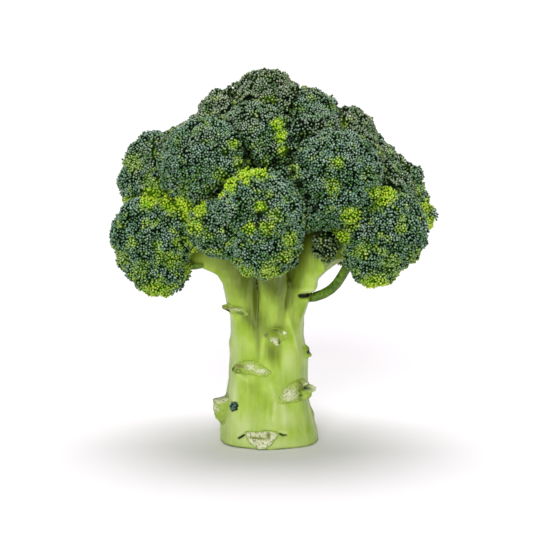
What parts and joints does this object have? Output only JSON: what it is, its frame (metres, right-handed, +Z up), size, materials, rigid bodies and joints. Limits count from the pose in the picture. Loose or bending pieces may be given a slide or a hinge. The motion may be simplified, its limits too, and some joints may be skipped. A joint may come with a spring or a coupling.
{
  "type": "broccoli head",
  "caption": "Head of green broccoli standing upright on its cut stalk, with forked stems, domed florets of small buds and trimmed leaf stubs.",
  "frame": {"origin": "centre of the flat cut at the foot of the stalk", "axes": "+Z up along the stalk towards the crown, -Y towards the front, +X to the right seen from the front"},
  "size_m": [0.1524, 0.141, 0.1773],
  "materials": {
    "stalk_flesh": "satin, pale green, waxy skin with fine lengthwise streaks",
    "stem_flesh": "satin, pale green, waxy skin",
    "leaf_scar": "dry cut flesh, whitish green with dotted veins",
    "shoot_skin": "satin, mid green",
    "axil_bud": "matt, dark blue green",
    "flower_buds": "matt, blue green with a waxy bloom, yellow green where shaded"
  },
  "bodies": {
    "root": {"main_stalk": "stalk_flesh", "stem_crown_top": "stem_flesh", "stem_crown_left": "stem_flesh", "stem_crown_right": "stem_flesh", "stem_crown_front": "stem_flesh", "stem_front_upper_left": "stem_flesh", "stem_front_upper_right": "stem_flesh", "stem_front_centre": "stem_flesh", "stem_left_lower": "stem_flesh", "stem_left_upper": "stem_flesh", "stem_right_lower": "stem_flesh", "stem_right_upper": "stem_flesh", "stem_right_shoulder": "stem_flesh", "stem_right_outer": "stem_flesh", "stem_front_recess": "stem_flesh", "stem_back_crown_left": "stem_flesh", "stem_back_crown_right": "stem_flesh", "stem_back_upper_left": "stem_flesh", "stem_back_upper": "stem_flesh", "stem_back_upper_right": "stem_flesh", "stem_back_lower_left": "stem_flesh", "stem_back_lower": "stem_flesh", "stem_back_lower_right": "stem_flesh", "side_shoot_right": "shoot_skin", "side_shoot_left": "shoot_skin", "leaf_stub_upper_left": "leaf_scar", "leaf_stub_centre": "leaf_scar", "leaf_stub_mid_left": "leaf_scar", "leaf_stub_mid_right": "leaf_scar", "leaf_stub_lower_left": "leaf_scar", "leaf_stub_foot": "leaf_scar", "leaf_stub_right": "leaf_scar", "leaf_stub_back_right": "leaf_scar", "leaf_stub_back_left": "leaf_scar", "axil_bud": "axil_bud", "floret_crown_top": "flower_buds", "floret_crown_left": "flower_buds", "floret_crown_right": "flower_buds", "floret_crown_front": "flower_buds", "floret_front_upper_left": "flower_buds", "floret_front_upper_right": "flower_buds", "floret_front_centre": "flower_buds", "floret_left_lower": "flower_buds", "floret_left_upper": "flower_buds", "floret_right_lower": "flower_buds", "floret_right_upper": "flower_buds", "floret_right_shoulder": "flower_buds", "floret_right_outer": "flower_buds", "floret_front_recess": "flower_buds", "floret_back_crown_left": "flower_buds", "floret_back_crown_right": "flower_buds", "floret_back_upper_left": "flower_buds", "floret_back_upper": "flower_buds", "floret_back_upper_right": "flower_buds", "floret_back_lower_left": "flower_buds", "floret_back_lower": "flower_buds", "floret_back_lower_right": "flower_buds"}
  },
  "joints": []
}
